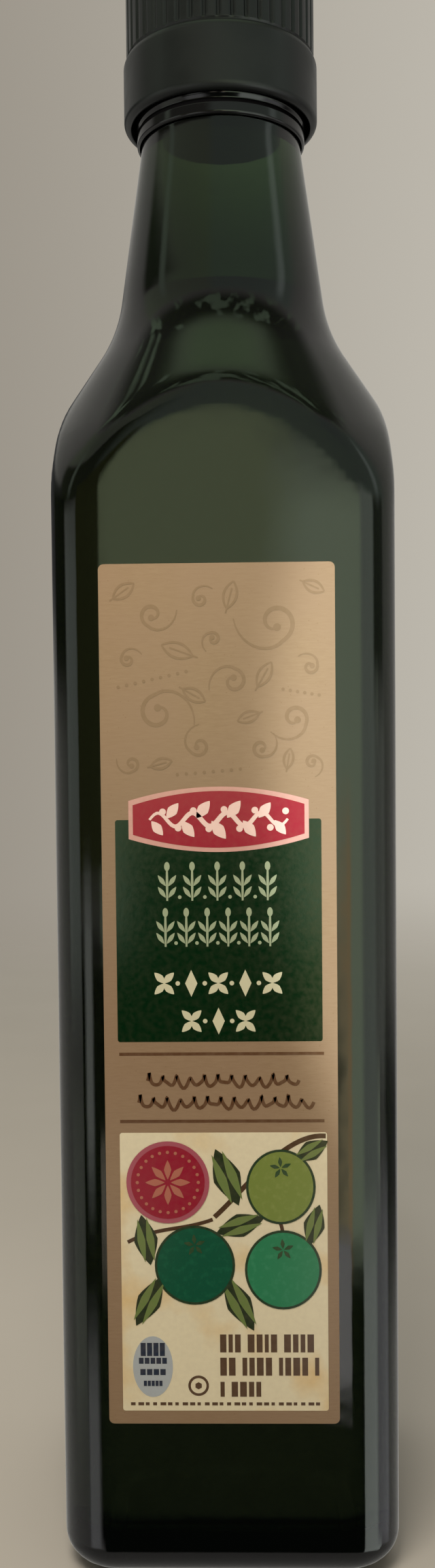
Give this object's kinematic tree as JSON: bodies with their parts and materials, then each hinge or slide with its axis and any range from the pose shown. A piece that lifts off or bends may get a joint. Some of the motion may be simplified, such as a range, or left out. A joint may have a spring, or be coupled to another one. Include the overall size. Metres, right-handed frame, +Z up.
{
  "type": "olive oil bottle",
  "caption": "Square dark green glass bottle of olive oil with a sloping shoulder, round neck, ribbed black screw cap and a tall paper label on its front.",
  "frame": {"origin": "middle of the base, on the surface that the bottle stands on", "axes": "+Z up along the neck, -Y out of the labelled front, +X to the right seen from the front"},
  "size_m": [0.057, 0.0573, 0.274],
  "materials": {
    "green_glass": "clear gloss, dark green",
    "oil": "clear golden green liquid",
    "cap_plastic": "moulded, satin black",
    "ring_plastic": "moulded, gloss black",
    "label_paper": "uncoated brown paper with printed fields"
  },
  "bodies": {
    "root": {"glass_bottle": "green_glass", "olive_oil": "oil", "screw_cap": "cap_plastic", "neck_ring": "ring_plastic", "front_label": "label_paper"}
  },
  "joints": []
}
